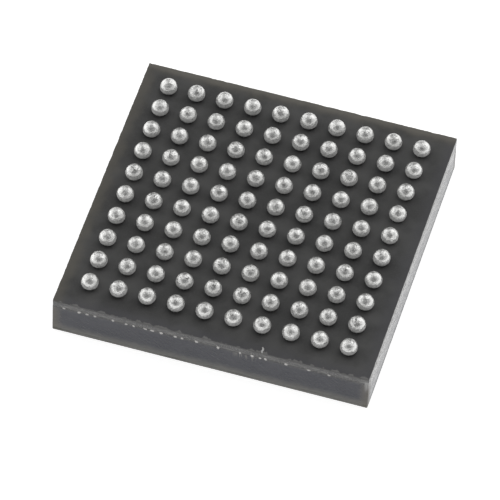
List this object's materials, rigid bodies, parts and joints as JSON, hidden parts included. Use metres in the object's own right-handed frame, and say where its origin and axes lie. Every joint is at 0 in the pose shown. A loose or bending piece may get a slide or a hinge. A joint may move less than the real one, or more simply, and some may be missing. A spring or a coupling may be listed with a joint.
{
  "type": "ball grid array package",
  "caption": "Square overmoulded chip package with a full grid of solder balls on its laminate face, lying on its moulded face.",
  "frame": {"origin": "centre of the moulded face, on which the package lies", "axes": "+Z out of the ball side, +X along the ball rows with the first column at -X, +Y across them with row a at +Y"},
  "size_m": [0.011, 0.011, 0.002],
  "materials": {
    "mould_compound": "matt, filled epoxy, sawn on its four sides",
    "solder_mask": "matt black",
    "laminate": "sawn glass-fibre laminate",
    "copper": "bright where sawn",
    "via_resin": "matt",
    "silicon": "polished silicon",
    "adhesive": "matt",
    "bond_pad_metal": "smooth",
    "wire_metal": "bright gold",
    "solder": "reflowed tin alloy, frosted"
  },
  "bodies": {
    "root": {"mould_cap": "mould_compound", "die_side_solder_mask": "solder_mask", "ball_side_solder_mask": "solder_mask", "substrate_core": "laminate", "die_side_copper_right": "copper", "die_side_copper_back": "copper", "die_side_copper_left": "copper", "die_side_copper_front": "copper", "ball_pads": "copper", "via_barrels": "copper", "via_plugs": "via_resin", "die": "silicon", "die_attach": "adhesive", "die_bond_pads": "bond_pad_metal", "bond_wires_right": "wire_metal", "bond_wires_back": "wire_metal", "bond_wires_left": "wire_metal", "bond_wires_front": "wire_metal", "ball_row_a": "solder", "ball_row_b": "solder", "ball_row_c": "solder", "ball_row_d": "solder", "ball_row_e": "solder", "ball_row_f": "solder", "ball_row_g": "solder", "ball_row_h": "solder", "ball_row_j": "solder", "ball_row_k": "solder"}
  },
  "joints": []
}
